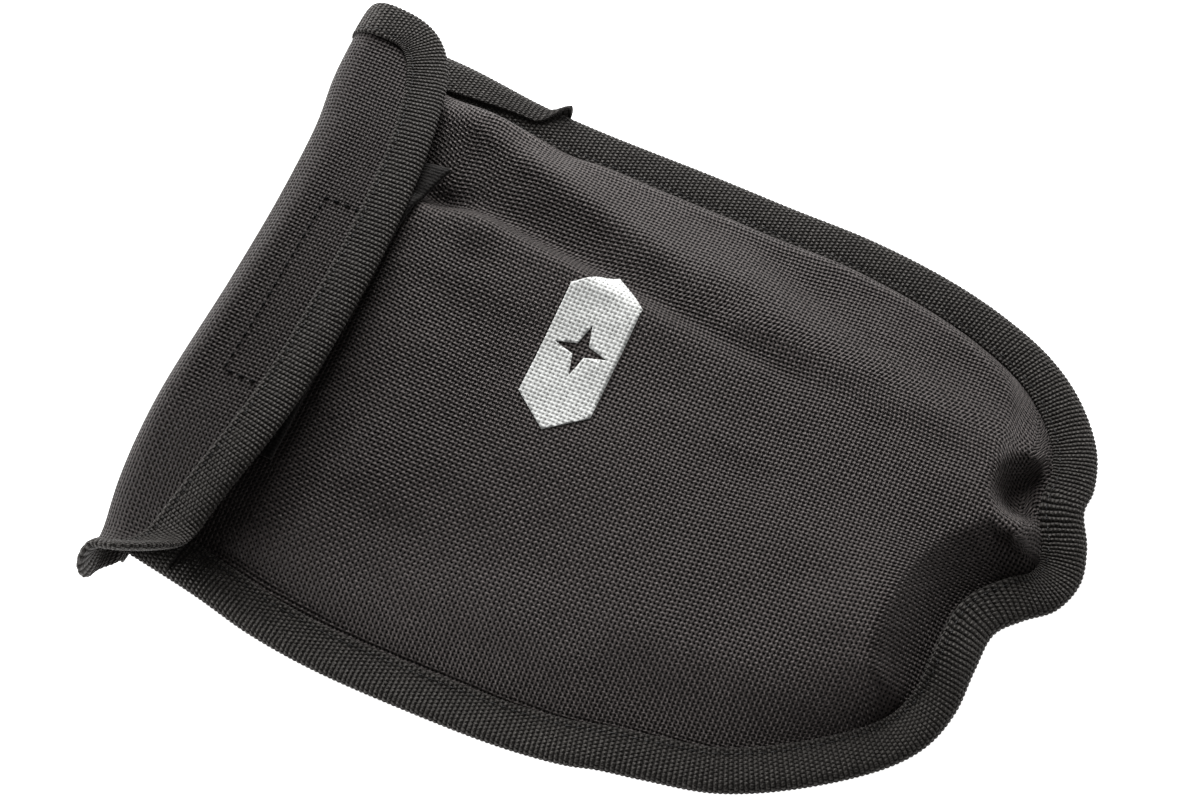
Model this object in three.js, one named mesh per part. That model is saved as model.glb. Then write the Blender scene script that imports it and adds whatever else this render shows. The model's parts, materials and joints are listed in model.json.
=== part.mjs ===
// Flap-top belt pouch in bound ballistic nylon, lying empty on its back.
// Units are millimetres. +Z is up (away from the back panel), +Y points to the flap's
// fold, and +X is to the right when the front is seen with the flap at the top.

import * as THREE from 'three';

// ---- driving dimensions -------------------------------------------------------------

// Cloth and tape
const FABRIC = 0.9;            // ballistic nylon, backing included
const TAPE = 0.9;              // grosgrain binding tape
const TAPE_FOLDED = 12.7;      // a 25.4 mm tape folded in half over an edge
const WEBBING = 1.6;
const THREAD = 0.5;
const GAP = 0.3;               // between pieces that touch on the real pouch
const HALF_PLY_GAP = 0.2;      // from the seam's middle to either panel
const TAPE_BEVEL = { reach: 0.6, drop: 0.7 };   // rounding of a tape's folded edge

// Body outline: straight sides above SHOULDER_Y, half a superellipse below it
const BODY_HALF_WIDTH = 97.5;
const MOUTH_HALF_WIDTH = 95;
const SHOULDER_Y = 35;
const BODY_DROP = 170;         // from the shoulder line to the rounded tip
const BODY_POWER = 2.6;        // 2 would be an ellipse, more is squarer
const MOUTH_Y = 124;
const MOUTH_TAPE_OUT = 1.2;    // the mouth's tape stands out past the panel's edge

// Heights
const SEAM_Z = 2.3;            // middle of the bound seam where it lies on the table
const FOLD_Z = 7.35;           // middle of the back panel along the fold line
const BACK_PLATEAU_Z = 7.4;    // the back panel stands on its belt loop
const FRONT_PLATEAU_Z = 19.3;
const FRONT_TIP_Z = 13;        // the front panel sinks towards the tip
const FLAP_Z = 25.5;

// Flap and the band between its two folds
const FOLD_Y = 128.35;
const FOLD_CLEARANCE = 1.3;    // from a fold's axis to the cloth on either side of it
const BAND_BULGE = 5;
const FLAP_HALF_WIDTH = 104;
const FLAP_DEPTH = 36.7;
const FLAP_POWER = 2.3;

// Fastener strips, print and belt loop
const HOOK_STRIP = { x: 0, y: 115.4, width: 58, depth: 20, thick: 1.8 };
const LOOP_STRIP = { x: 5, y: 98.5, width: 102, depth: 25, thick: 1.6 };
const STRIP_STITCH_INSET = 2;
const MARK = { x: 19.5, y: 22, width: 54, depth: 23, point: 10, star: 9.5, waist: 2.6 };
const MARK_THICK = 0.2;
const BELT_LOOP = { width: 50, low: 2, high: 88, tab: 13, ramp: 9, lead: 0.8 };

// Side tapes: the tail of the flap's binding, sewn down over the body's binding
const SIDE_TAPE = { outer: -2.5, inner: 9, low: 68, high: 121 };
const TAIL = { reach: 4, drop: 7, share: 0.12 };
const BARTACK = { width: 8, depth: 2.2, height: 0.6, y: 117, lift: 2 * GAP };

// ---- worked-out values --------------------------------------------------------------

const SEAM_HALF_PLIES = HALF_PLY_GAP + FABRIC + GAP;    // slot in the body's binding
const BODY_BINDING_HALF = SEAM_HALF_PLIES + TAPE;
const FLAP_SLOT_HALF = FABRIC / 2 + GAP;
const FLAP_BINDING_HALF = FLAP_SLOT_HALF + TAPE;
const PLY_OFFSET = HALF_PLY_GAP + FABRIC / 2;           // a panel's middle from the seam's
const PANEL_EDGE = TAPE + GAP + 0.1;                    // panel edge inside the binding
const DOME_EDGE = TAPE_FOLDED + 1.3;                    // where a panel starts to rise
const STITCH_INSET = TAPE_FOLDED - 1.9;

// ---- small helpers ------------------------------------------------------------------

const lerp = THREE.MathUtils.lerp;
const smooth = (value, low, high) => THREE.MathUtils.smoothstep(value, low, high);

function material(color, roughness) {
  return new THREE.MeshStandardMaterial({ color, roughness, metalness: 0 });
}

const nylon = material(0x3c3837, 0.85);
const tape = material(0x303230, 0.9);
const thread = material(0x1c1b1b, 0.8);
const hookTape = material(0x222222, 0.75);
const loopTape = material(0x2a2928, 0.98);
const webbing = material(0x2b2a29, 0.85);
const ink = material(0xdfe0dc, 0.6);

function piece(name, geometry, surfaceMaterial) {
  const mesh = new THREE.Mesh(geometry, surfaceMaterial);
  mesh.name = name;
  return mesh;
}

// A closed solid from vertices and triangles, turned inside out if its volume is negative.
function solid(points, triangles) {
  let volume = 0;
  for (const [a, b, c] of triangles) {
    volume += points[a].dot(points[b].clone().cross(points[c]));
  }
  const turned = volume < 0 ? triangles.map(([a, b, c]) => [a, c, b]) : triangles;
  const geometry = new THREE.BufferGeometry().setFromPoints(points);
  geometry.setIndex(turned.flat());
  geometry.computeVertexNormals();
  return geometry;
}

// A sheet of cloth: surface(u, v) is its middle, given at every u and v of the two lists.
function sheet(surface, us, vs, thickness) {
  const step = 1e-4;
  const points = [];
  for (const side of [0.5, -0.5]) {
    for (const v of vs) {
      for (const u of us) {
        const along = surface(u + step, v).sub(surface(u - step, v));
        const across = surface(u, v + step).sub(surface(u, v - step));
        const normal = along.cross(across).normalize();
        points.push(surface(u, v).addScaledVector(normal, side * thickness));
      }
    }
  }
  const count = us.length;
  const layer = count * vs.length;
  const triangles = [];
  const quad = (a, b, c, d) => triangles.push([a, b, c], [a, c, d]);
  for (let j = 0; j < vs.length - 1; j += 1) {
    for (let i = 0; i < count - 1; i += 1) {
      const a = j * count + i;
      quad(a, a + 1, a + 1 + count, a + count);
      quad(layer + a, layer + a + count, layer + a + 1 + count, layer + a + 1);
    }
  }
  const rim = [];
  for (let i = 0; i < count - 1; i += 1) rim.push(i);
  for (let j = 0; j < vs.length - 1; j += 1) rim.push(j * count + count - 1);
  for (let i = count - 1; i > 0; i -= 1) rim.push((vs.length - 1) * count + i);
  for (let j = vs.length - 1; j > 0; j -= 1) rim.push(j * count);
  rim.forEach((a, k) => {
    const b = rim[(k + 1) % rim.length];
    quad(a, layer + a, layer + b, b);
  });
  return solid(points, triangles);
}

// A section carried along a row of stations. Each station has a position and the two
// directions, inward and up, that the section's two coordinates are measured along.
function sweep(stations, section) {
  const points = [];
  for (const { position, inward, up } of stations) {
    for (const [a, b] of section) {
      points.push(position.clone().addScaledVector(inward, a).addScaledVector(up, b));
    }
  }
  const count = section.length;
  const triangles = [];
  for (let j = 0; j < stations.length - 1; j += 1) {
    for (let i = 0; i < count; i += 1) {
      const a = j * count + i;
      const b = j * count + (i + 1) % count;
      triangles.push([a, b, b + count], [a, b + count, a + count]);
    }
  }
  const outline = section.map(([a, b]) => new THREE.Vector2(a, b));
  const last = (stations.length - 1) * count;
  for (const [a, b, c] of THREE.ShapeUtils.triangulateShape(outline, [])) {
    triangles.push([c, b, a], [last + a, last + b, last + c]);
  }
  return solid(points, triangles);
}

// Tape folded over an edge: a C whose slot takes the plies of cloth.
function bindingSection(slotHalf) {
  const half = slotHalf + TAPE;
  const { reach, drop } = TAPE_BEVEL;
  return [
    [TAPE_FOLDED, half], [reach, half], [0, half - drop], [0, drop - half], [reach, -half],
    [TAPE_FOLDED, -half], [TAPE_FOLDED, -slotHalf], [TAPE, -slotHalf],
    [TAPE, slotHalf], [TAPE_FOLDED, slotHalf],
  ];
}

// A thread lying on a surface at the given inset and height.
function threadSection(inset, height) {
  const half = THREAD / 2;
  const low = height + GAP;
  return [
    [inset - half, low], [inset + half, low], [inset + half, low + THREAD],
    [inset - half, low + THREAD],
  ];
}

function slab(shape, low, thickness) {
  const geometry = new THREE.ExtrudeGeometry(shape, { depth: thickness, bevelEnabled: false });
  return geometry.translate(0, 0, low);
}

function rectangle(strip, grow = 0) {
  const x = strip.width / 2 + grow;
  const y = strip.depth / 2 + grow;
  return [[-x, -y], [x, -y], [x, y], [-x, y]].map(
    ([dx, dy]) => new THREE.Vector2(strip.x + dx, strip.y + dy));
}

// A run of stitches round a strip, as one closed thread.
function stitchRing(strip, low) {
  const ring = new THREE.Shape(rectangle(strip, -STRIP_STITCH_INSET));
  ring.holes.push(new THREE.Path(rectangle(strip, -STRIP_STITCH_INSET - THREAD)));
  return slab(ring, low, THREAD);
}

// ---- the body's outline and its two panels ------------------------------------------

const seamHeight = (y) => SEAM_Z + (FOLD_Z + PLY_OFFSET - SEAM_Z) * smooth(y, 60, MOUTH_Y);

function bodyHalfWidth(y) {
  const rise = (y - SHOULDER_Y) / (MOUTH_Y - SHOULDER_Y);
  return lerp(BODY_HALF_WIDTH, MOUTH_HALF_WIDTH, rise * rise);
}

// Where a square's (u, v) goes on a superellipse of unit size: its rings stay rings.
function onSuperellipse(u, v, power) {
  const length = (Math.abs(u) ** power + Math.abs(v) ** power) ** (1 / power);
  return length === 0 ? [0, 0] : [u / length, v / length];
}

const RIM_RING = 0.86;          // the ring of a panel's grid where its dome starts
const INNER_RINGS = [0, 0.25, 0.48, 0.68, 0.76, 0.84, 0.92];
const RINGS = [...INNER_RINGS.map((ring) => ring * RIM_RING), RIM_RING, 1];
const PANEL_COLUMNS = [...RINGS.slice(1).reverse().map((ring) => -ring), ...RINGS];
const PLATEAU_FROM = 0.32;      // share of the way in where the dome levels out

// Half size of a ring of a panel's grid, given the outline's half size.
function ringSize(ring, halfSize) {
  if (ring <= RIM_RING) return (halfSize - DOME_EDGE) * ring / RIM_RING;
  return lerp(halfSize - DOME_EDGE, halfSize - PANEL_EDGE, (ring - RIM_RING) / (1 - RIM_RING));
}

// Rows of a panel: -1 is the tip, 0 the shoulder line and 1 the mouth.
const LOWER_ROWS = RINGS.map((ring) => -ring).reverse();
const UPPER_ROWS = [0.28, 0.46, 0.6, 0.73, 0.86, 1];

// A point of a panel; height(y, share) is how high it is when share of the way up its dome.
function panelPoint(u, row, topY, height) {
  const ring = row < 0 ? Math.max(Math.abs(u), -row) : Math.abs(u);
  let x;
  let y;
  if (row < 0) {
    const [ex, ey] = onSuperellipse(u, row, BODY_POWER);
    x = ex * ringSize(ring, BODY_HALF_WIDTH);
    y = SHOULDER_Y + ey * ringSize(ring, BODY_DROP);
  } else {
    y = lerp(SHOULDER_Y, topY, row);
    x = Math.sign(u) * ringSize(ring, bodyHalfWidth(y));
  }
  const inwards = THREE.MathUtils.clamp((1 - ring / RIM_RING) / PLATEAU_FROM, 0, 1);
  const share = 1 - (1 - inwards) ** 2;
  return new THREE.Vector3(x, y, height(y, share));
}

function frontHeight(y, share) {
  const edge = seamHeight(y) + PLY_OFFSET;
  const plateau = lerp(FRONT_TIP_Z, FRONT_PLATEAU_Z, smooth(y, -100, -20));
  return lerp(edge, plateau, share);
}

function backHeight(y, share) {
  const edge = seamHeight(y) - PLY_OFFSET;
  const plateau = lerp(edge, BACK_PLATEAU_Z, smooth(y, -110, -40));
  return lerp(edge, plateau, share);
}

function bodyPanel(topY, height) {
  const rows = [...LOWER_ROWS, ...UPPER_ROWS];
  return sheet((u, row) => panelPoint(u, row, topY, height), PANEL_COLUMNS, rows, FABRIC);
}

// Stations round a half superellipse, from its right end to its left.
function superellipseStations(halfWidth, drop, power, centreY, height) {
  const ticks = [0, 0.12, 0.24, 0.36, 0.48, 0.6, 0.7, 0.8, 0.9, 1];
  const square = [
    ...ticks.map((t) => [1, -t]),
    ...ticks.slice(0, -1).reverse().map((t) => [t, -1]),
    ...ticks.slice(1).map((t) => [-t, -1]),
    ...ticks.slice(0, -1).reverse().map((t) => [-1, -t]),
  ];
  return square.map(([u, v]) => {
    const [ex, ey] = onSuperellipse(u, v, power);
    const y = centreY + ey * drop;
    const slope = (e, size) => Math.sign(e) * Math.abs(e) ** (power - 1) / size;
    return {
      position: new THREE.Vector3(ex * halfWidth, y, height(y)),
      inward: new THREE.Vector3(-slope(ex, halfWidth), -slope(ey, drop), 0).normalize(),
      up: new THREE.Vector3(0, 0, 1),
    };
  });
}

function bodyStations() {
  const low = superellipseStations(
    BODY_HALF_WIDTH, BODY_DROP, BODY_POWER, SHOULDER_Y, seamHeight);
  const side = (sign) => UPPER_ROWS.map((row) => {
    const y = lerp(SHOULDER_Y, MOUTH_Y, row);
    return {
      position: new THREE.Vector3(sign * bodyHalfWidth(y), y, seamHeight(y)),
      inward: new THREE.Vector3(-sign, 0, 0),
      up: new THREE.Vector3(0, 0, 1),
    };
  });
  return [...side(1).reverse(), ...low, ...side(-1)];
}

// ---- mouth, side tapes and what is sewn on the front --------------------------------

// The mouth's edge follows the front panel's top row across the opening.
function mouthStations() {
  const across = PANEL_COLUMNS.filter((u) => Math.abs(u) < RIM_RING - 1e-6);
  return across.map((u) => ({
    position: panelPoint(u, 1, MOUTH_Y, frontHeight).add(new THREE.Vector3(0, MOUTH_TAPE_OUT, 0)),
    inward: new THREE.Vector3(0, -1, 0),
    up: new THREE.Vector3(0, 0, 1),
  }));
}

// The flap's tape carried on down the body's side, flat over its binding. A tail turns out
// and down at its end.
function sideTape(sign, hasTail) {
  const middle = BODY_BINDING_HALF + GAP + TAPE / 2;
  const rows = [0, TAIL.share, 0.4, 0.6, 0.8, 1];
  return sheet((u, v) => {
    const y = lerp(SIDE_TAPE.low, SIDE_TAPE.high, v);
    const tail = hasTail ? Math.max(0, 1 - v / TAIL.share) : 0;
    const inset = lerp(SIDE_TAPE.inner, SIDE_TAPE.outer, u) - TAIL.reach * tail;
    const x = sign * (bodyHalfWidth(y) - inset);
    return new THREE.Vector3(x, y - TAIL.drop * tail, seamHeight(y) + middle);
  }, [0, 1], rows, TAPE);
}

function bartack(sign) {
  const geometry = new THREE.BoxGeometry(BARTACK.width, BARTACK.depth, BARTACK.height);
  const mesh = piece(sign > 0 ? 'mouth_bartack_right' : 'mouth_bartack_left', geometry, thread);
  const low = seamHeight(BARTACK.y) + BODY_BINDING_HALF + GAP + TAPE + BARTACK.lift;
  const x = bodyHalfWidth(BARTACK.y) - (SIDE_TAPE.inner + SIDE_TAPE.outer) / 2;
  mesh.position.set(sign * x, BARTACK.y, low + BARTACK.height / 2);
  return mesh;
}

// A plain badge: a long hexagon with a four-pointed star left out of it.
function printedMark() {
  const { x, y, width, depth, point, star, waist } = MARK;
  const corner = (dx, dy) => new THREE.Vector2(x + dx, y + dy);
  const badge = new THREE.Shape([
    corner(-width / 2, 0), corner(point - width / 2, -depth / 2),
    corner(width / 2 - point, -depth / 2), corner(width / 2, 0),
    corner(width / 2 - point, depth / 2), corner(point - width / 2, depth / 2),
  ]);
  const tips = [];
  for (let k = 0; k < 8; k += 1) {
    const reach = k % 2 === 0 ? star : waist;
    tips.push(corner(reach * Math.cos(k * Math.PI / 4), reach * Math.sin(k * Math.PI / 4)));
  }
  badge.holes.push(new THREE.Path(tips));
  return slab(badge, FRONT_PLATEAU_Z + FABRIC / 2 + GAP, MARK_THICK);
}

// ---- belt loop ----------------------------------------------------------------------

// Seen from the side, the webbing lies on the table and climbs to the back panel at both
// ends, where its tabs are sewn on. Its upper face bends a little later than its lower one.
function beltLoop() {
  const { width, low, high, tab, ramp, lead } = BELT_LOOP;
  const top = BACK_PLATEAU_Z - FABRIC / 2 - GAP;
  const under = [[low, top - WEBBING], [low + tab, top - WEBBING], [low + tab + ramp, 0]];
  const over = [[low, top], [low + tab + lead, top], [low + tab + ramp + lead, WEBBING]];
  const mirrored = (points) => points.map(([y, z]) => [low + high - y, z]).reverse();
  const outline = [
    ...under, ...mirrored(under), ...mirrored(over).reverse(), ...over.reverse(),
  ];
  const shape = new THREE.Shape(outline.map(([y, z]) => new THREE.Vector2(y, z)));
  const geometry = new THREE.ExtrudeGeometry(shape, { depth: width, bevelEnabled: false });
  const turn = new THREE.Matrix4().makeBasis(
    new THREE.Vector3(0, 1, 0), new THREE.Vector3(0, 0, 1), new THREE.Vector3(1, 0, 0));
  return geometry.applyMatrix4(turn).translate(-width / 2, 0, 0);
}

function beltLoopStitching(y) {
  const tab = { x: 0, y, width: BELT_LOOP.width, depth: BELT_LOOP.tab };
  const under = BACK_PLATEAU_Z - FABRIC / 2 - GAP - WEBBING;
  return stitchRing(tab, under - GAP - THREAD);
}

// ---- fold band and flap -------------------------------------------------------------

// The band between the folds bulges outwards on a circular arc.
const BAND_RISE = (FLAP_Z - FOLD_Z) / 2;
const BAND_RADIUS = (BAND_RISE ** 2 + BAND_BULGE ** 2) / (2 * BAND_BULGE);
const BAND_HALF_ANGLE = Math.asin(BAND_RISE / BAND_RADIUS);
const BAND_TRIM = FOLD_CLEARANCE / BAND_RADIUS;

function bandStation(x, share, inwardSign) {
  const angle = lerp(-1, 1, share) * (BAND_HALF_ANGLE - BAND_TRIM);
  const out = new THREE.Vector3(0, Math.cos(angle), Math.sin(angle));
  const centre = new THREE.Vector3(x, FOLD_Y + BAND_BULGE - BAND_RADIUS, FOLD_Z + BAND_RISE);
  return {
    position: centre.addScaledVector(out, BAND_RADIUS),
    inward: new THREE.Vector3(inwardSign, 0, 0),
    up: out,
  };
}

const BAND_SHARES = [0, 0.17, 0.33, 0.5, 0.67, 0.83, 1];

function bandPanel() {
  const half = FLAP_HALF_WIDTH - PANEL_EDGE;
  return sheet((u, v) => bandStation(u * half, v, 0).position, [-1, 0, 1], BAND_SHARES, FABRIC);
}

function bandBinding(sign) {
  const stations = BAND_SHARES.map(
    (share) => bandStation(sign * FLAP_HALF_WIDTH, share, -sign));
  return sweep(stations, bindingSection(FLAP_SLOT_HALF));
}

const FLAP_TOP_Y = FOLD_Y - FOLD_CLEARANCE;
const flapHeight = () => FLAP_Z;

function flapStations() {
  return superellipseStations(
    FLAP_HALF_WIDTH, FLAP_DEPTH - FOLD_CLEARANCE, FLAP_POWER, FLAP_TOP_Y, flapHeight);
}

function flapPanel() {
  const edge = flapStations().map(({ position, inward }) => {
    const point = position.clone().addScaledVector(inward, PANEL_EDGE);
    return new THREE.Vector2(point.x, Math.min(point.y, FLAP_TOP_Y));
  });
  return slab(new THREE.Shape(edge.reverse()), FLAP_Z - FABRIC / 2, FABRIC);
}

// ---- assembly -----------------------------------------------------------------------

const frontTop = FRONT_PLATEAU_Z + FABRIC / 2;
const loopStripLow = frontTop + GAP;
const hookStripLow = FLAP_Z - FABRIC / 2 - GAP - HOOK_STRIP.thick;
const mouthBinding = sweep(mouthStations(), bindingSection(FLAP_SLOT_HALF));
const mouthStitching = sweep(mouthStations(), threadSection(STITCH_INSET, FLAP_BINDING_HALF));

const pouch = new THREE.Group();
pouch.add(
  piece('back_panel', bodyPanel(FLAP_TOP_Y, backHeight), nylon),
  piece('front_panel', bodyPanel(MOUTH_Y, frontHeight), nylon),
  piece('body_binding', sweep(bodyStations(), bindingSection(SEAM_HALF_PLIES)), tape),
  piece('body_binding_stitching',
    sweep(bodyStations(), threadSection(STITCH_INSET, BODY_BINDING_HALF)), thread),
  piece('mouth_binding', mouthBinding, tape),
  piece('mouth_binding_stitching', mouthStitching, thread),
  piece('side_tape_left', sideTape(-1, false), tape),
  piece('side_tape_right', sideTape(1, true), tape),
  bartack(-1),
  bartack(1),
  piece('loop_strip',
    slab(new THREE.Shape(rectangle(LOOP_STRIP)), loopStripLow, LOOP_STRIP.thick), loopTape),
  piece('loop_strip_stitching',
    stitchRing(LOOP_STRIP, loopStripLow + LOOP_STRIP.thick + GAP), thread),
  piece('printed_mark', printedMark(), ink),
  piece('belt_loop', beltLoop(), webbing),
  piece('belt_loop_lower_stitching',
    beltLoopStitching(BELT_LOOP.low + BELT_LOOP.tab / 2), thread),
  piece('belt_loop_upper_stitching',
    beltLoopStitching(BELT_LOOP.high - BELT_LOOP.tab / 2), thread),
);

const foldBand = new THREE.Group();
foldBand.add(
  piece('fold_band', bandPanel(), nylon),
  piece('fold_band_binding_left', bandBinding(-1), tape),
  piece('fold_band_binding_right', bandBinding(1), tape),
);

const flap = new THREE.Group();
flap.add(
  piece('flap_panel', flapPanel(), nylon),
  piece('flap_binding', sweep(flapStations(), bindingSection(FLAP_SLOT_HALF)), tape),
  piece('flap_binding_stitching',
    sweep(flapStations(), threadSection(STITCH_INSET, FLAP_BINDING_HALF)), thread),
  piece('hook_strip',
    slab(new THREE.Shape(rectangle(HOOK_STRIP)), hookStripLow, HOOK_STRIP.thick), hookTape),
  piece('hook_strip_stitching',
    stitchRing(HOOK_STRIP, FLAP_Z + FABRIC / 2 + GAP), thread),
);

const model = new THREE.Group();
model.add(pouch, foldBand, flap);

export default model;
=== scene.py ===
"""Looks of a flap-top belt pouch in bound ballistic nylon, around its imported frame.

Shapes are worked out in millimetres in the row frame (+X right, +Y to the fold, +Z up)
and become metres when a mesh is made.
"""
import json
import math

import bmesh
import bpy
import numpy as np
from mathutils import Matrix, Vector


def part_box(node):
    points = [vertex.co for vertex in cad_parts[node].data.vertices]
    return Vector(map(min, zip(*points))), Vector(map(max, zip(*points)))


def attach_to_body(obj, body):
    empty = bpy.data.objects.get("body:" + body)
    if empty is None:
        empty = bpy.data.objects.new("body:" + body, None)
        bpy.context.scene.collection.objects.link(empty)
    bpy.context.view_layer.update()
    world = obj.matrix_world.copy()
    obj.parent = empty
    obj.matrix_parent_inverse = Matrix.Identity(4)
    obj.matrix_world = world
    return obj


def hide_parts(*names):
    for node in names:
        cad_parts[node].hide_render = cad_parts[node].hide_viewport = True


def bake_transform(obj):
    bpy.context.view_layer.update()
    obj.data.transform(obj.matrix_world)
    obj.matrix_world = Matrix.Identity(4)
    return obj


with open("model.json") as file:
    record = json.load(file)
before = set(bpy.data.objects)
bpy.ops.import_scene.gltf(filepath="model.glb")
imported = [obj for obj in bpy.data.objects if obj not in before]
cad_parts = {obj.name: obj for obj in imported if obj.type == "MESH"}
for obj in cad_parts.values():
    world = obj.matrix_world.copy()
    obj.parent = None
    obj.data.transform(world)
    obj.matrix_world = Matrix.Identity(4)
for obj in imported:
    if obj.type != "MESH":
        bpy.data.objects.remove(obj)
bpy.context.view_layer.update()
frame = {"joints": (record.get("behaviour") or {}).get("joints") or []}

MM = 0.001


def node_box(name):
    """Lowest and highest corner of a CAD node, in millimetres."""
    low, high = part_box(name)
    return np.array(low) / MM, np.array(high) / MM


# ---- sizes taken from the frame ----

MOUTH_Y = node_box("body_binding")[1][1]
FLAP_HALF_WIDTH = node_box("flap_binding")[1][0] + 0.8
LOOP_LOW, LOOP_HIGH = node_box("loop_strip")
MARK_LOW, MARK_HIGH = node_box("printed_mark")
STRAP_LOW, STRAP_HIGH = node_box("belt_loop")
FOLD_Z = frame["joints"][0]["pos_m"][2] / MM

# ---- cloth and tape ----

FABRIC = 0.9  # thickness of the nylon
TAPE = 0.8  # thickness of the tape
TAPE_FOLDED = 12.7  # half of a 25.4 mm tape shows on each side of an edge
RIB = 1.45  # grosgrain ribs across the tape
BEAD = 1.2  # knuckles of the yarn along a rib
WEAVE = 1.27  # 20 yarns to the inch
PLY = 0.6  # a panel's middle above or below the seam's
SEAM_IN = 10.8  # from the fold of a tape to its stitching
SEAM_SINK = 0.15  # how deep the stitching lies in the tape
FRONT_INSET = 8.0  # each cloth ends this far inside its edge, under the tape
BACK_INSET = 6.0
FLAP_INSET = 8.0
# Half the height of a folded tape's roll, and half the gap between its lips.
BODY_HALF, BODY_LIP = 2.2, 1.15
FLAP_HALF, FLAP_LIP = 1.35, 0.5

# ---- the fold and the flap, along their cloth ----

FOLD_RADIUS = 9.2
FOLD_CENTRE_Y, FOLD_CENTRE_Z = 125.4, FOLD_Z + FOLD_RADIUS
TURN = math.pi / 2 * FOLD_RADIUS  # cloth from the middle of the fold to its top or bottom
FLAP_EDGE = TURN + 35.0  # cloth from the middle of the fold to the free edge
BACK_TOP_Y = 118.0  # the fold's cloth joins the back panel here
HOOK_LOW, HOOK_HIGH = np.array([-31.0, -41.0]), np.array([34.5, -20.5])  # (x, w)
# The flap's left end curls up like a lip.
LIP_X, LIP_CUT_BACK = 84, 12  # where it starts, and how much nearer at the free edge
LIP_RADIUS, LIP_ANGLE = 8.0, math.radians(68)
LIP_DROOP = 4.8  # the roll sinks towards the lip
LIP_TUCK = 15  # the fold's lower half is drawn in under the lip
# How the cloth bends at its two joints, from start to end, in metres.
LOWER_BEND = ("pouch", "fold_band_body", (0, 0.128, 0.0078), (0, 0.128, 0.0125))
UPPER_BEND = ("fold_band_body", "flap", (0, 0.128, 0.0189), (0, 0.1259, 0.0258))

# ---- the camera, lights and floor ----

CAMERA_BACK = Vector((-0.3764, -0.2538, 0.8910))
CAMERA_UP = Vector((0.8246, 0.3466, 0.4471))
CAMERA_DISTANCE = 0.727
CAMERA_SENSOR, CAMERA_LENS = 36, 73.5
LOOK_AT = Vector((0.0145, 0.015, 0.0))


def make_camera():
    data = bpy.data.cameras.new("camera")
    data.sensor_width = CAMERA_SENSOR
    data.lens = CAMERA_LENS
    camera = bpy.data.objects.new("camera", data)
    bpy.context.scene.collection.objects.link(camera)
    back = CAMERA_BACK.normalized()
    right = CAMERA_UP.cross(back).normalized()
    turn = Matrix((right, back.cross(right), back)).transposed()
    camera.matrix_world = Matrix.Translation(LOOK_AT + back * CAMERA_DISTANCE) @ turn.to_4x4()
    bpy.context.scene.camera = camera


def area_light(name, place, aim, size, power):
    data = bpy.data.lights.new(name, "AREA")
    data.shape = "RECTANGLE"
    data.size, data.size_y = size
    data.energy = power
    light = bpy.data.objects.new(name, data)
    light.visible_camera = False
    bpy.context.scene.collection.objects.link(light)
    light.location = place
    light.rotation_euler = (Vector(aim) - Vector(place)).to_track_quat("-Z", "Y").to_euler()


def make_studio():
    world = bpy.data.worlds.new("studio")
    world.use_nodes = True
    world.node_tree.nodes["Background"].inputs["Color"].default_value = (1, 1, 1, 1)
    world.node_tree.nodes["Background"].inputs["Strength"].default_value = 0.10
    bpy.context.scene.world = world
    bpy.context.scene.view_settings.view_transform = "Standard"
    area_light("key_softbox", (0.97, 0.42, 0.45), (0, 0, 0), (0.75, 0.6), 24.5)
    area_light("fill", (0.2, -1.0, 0.4), (0, 0, 0), (0.8, 0.4), 1.2)
    area_light("rim_softbox", (-0.6, 1.0, 0.10), (0, 0.1, 0.02), (0.6, 0.14), 13)
    bpy.ops.mesh.primitive_plane_add(size=6, location=(0, 0, -0.0004))
    floor = bpy.context.object
    floor.name = "floor"
    paper = bpy.data.materials.new("white_paper")
    paper.use_nodes = True
    shader = paper.node_tree.nodes["Principled BSDF"]
    shader.inputs["Base Color"].default_value = (0.93, 0.93, 0.93, 1)
    shader.inputs["Roughness"].default_value = 0.9
    shader.inputs["Emission Color"].default_value = (1, 1, 1, 1)
    shader.inputs["Emission Strength"].default_value = 1.0
    floor.data.materials.append(paper)


# ---- materials ----


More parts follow.
